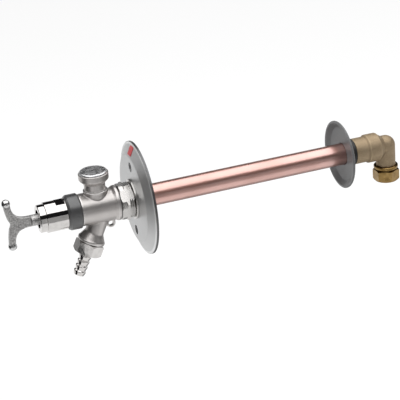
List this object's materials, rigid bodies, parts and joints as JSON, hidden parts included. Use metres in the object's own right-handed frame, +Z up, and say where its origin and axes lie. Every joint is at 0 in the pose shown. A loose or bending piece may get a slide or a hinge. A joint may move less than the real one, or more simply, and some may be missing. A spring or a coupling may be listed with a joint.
{
  "type": "frost free sillcock",
  "caption": "Outdoor frost free tap: wing handle and tap body with air inlet and hose nozzle, joined through the wall by a copper tube to a valve housing with elbow inlet indoors.",
  "frame": {"origin": "tube axis in the plane where the wall rosette meets the wall, midway between its two screws", "axes": "+X along the tube from the handle outdoors to the elbow indoors, +Z up"},
  "size_m": [0.521, 0.142, 0.1585],
  "materials": {
    "satin_nickel": "shot-blasted nickel plate over cast brass",
    "chrome": "polished chrome plate",
    "cap_chrome": "dark polished chrome plate",
    "cast_zinc": "satin cast zinc alloy with polished tips",
    "grey_trim": "dark grey plastic, fine grain",
    "grey_plate": "mid grey plastic with a metallic satin gloss",
    "dark_plate": "dark grey plastic",
    "copper": "bright drawn copper",
    "gunmetal": "sand-cast gunmetal",
    "brass": "machined brass",
    "steel": "spring steel",
    "rubber": "black rubber",
    "inner_plastic": "natural plastic"
  },
  "bodies": {
    "tap": {"tap_body": "satin_nickel", "headwork": "brass", "stem_o_rings": "rubber", "stem_circlip": "steel", "trim_ring": "grey_trim", "bonnet_sleeve": "chrome", "stem_guides": "inner_plastic", "copper_tube": "copper", "tube_adapter": "satin_nickel", "coupling_gasket": "rubber", "coupling_nut": "satin_nickel", "wall_rosette": "grey_plate", "valve_housing": "gunmetal", "valve_seat": "brass", "plunger_guide": "inner_plastic", "inlet_connector": "brass", "compression_olive": "copper", "compression_nut": "brass", "check_cage": "inner_plastic", "check_spring": "steel", "air_bonnet": "satin_nickel", "air_lid": "cap_chrome", "air_gasket": "rubber", "hose_nozzle": "chrome", "hose_gasket": "rubber"},
    "handle_and_stem": {"handle": "cast_zinc", "handle_pin": "steel", "stem": "brass"},
    "plunger": {"plunger": "brass", "valve_washer": "rubber", "washer_screw": "brass"},
    "check_poppet": {"check_poppet": "inner_plastic", "check_seal": "rubber"},
    "air_float": {"air_float": "inner_plastic", "air_seal": "rubber"},
    "hose_nut": {"hose_nut": "chrome"},
    "inner_rosette": {"inner_rosette": "dark_plate", "rosette_grip": "rubber", "lock_ring": "grey_trim"}
  },
  "joints": [
    {"name": "handle_turn", "type": "hinge", "parent": "tap", "child": "handle_and_stem", "pos_m": [-0.1, 0, 0], "axis": [-1, 0, 0], "range_deg": [0, 720]},
    {"name": "plunger_slide", "type": "slide", "parent": "tap", "child": "plunger", "axis": [-1, 0, 0], "range_m": [0, 0.004]},
    {"name": "check_lift", "type": "slide", "parent": "tap", "child": "check_poppet", "axis": [0, 0, 1], "range_m": [0, 0.003], "stiffness_N_per_m": 60, "springref_m": -0.004, "deforming": ["check_spring"]},
    {"name": "air_float_lift", "type": "slide", "parent": "tap", "child": "air_float", "axis": [0, 0, 1], "range_m": [0, 0.0022]},
    {"name": "hose_nut_spin", "type": "hinge", "parent": "tap", "child": "hose_nut", "pos_m": [-0.07257, 0, -0.05128], "axis": [-0.4462, 0, -0.8949], "continuous": true},
    {"name": "inner_rosette_slide", "type": "slide", "parent": "tap", "child": "inner_rosette", "axis": [-1, 0, 0], "range_m": [0, 0.2]}
  ],
  "couplings": [
    {"joint": "plunger_slide", "follows": "handle_turn", "m_per_rad": 0.00031831}
  ]
}
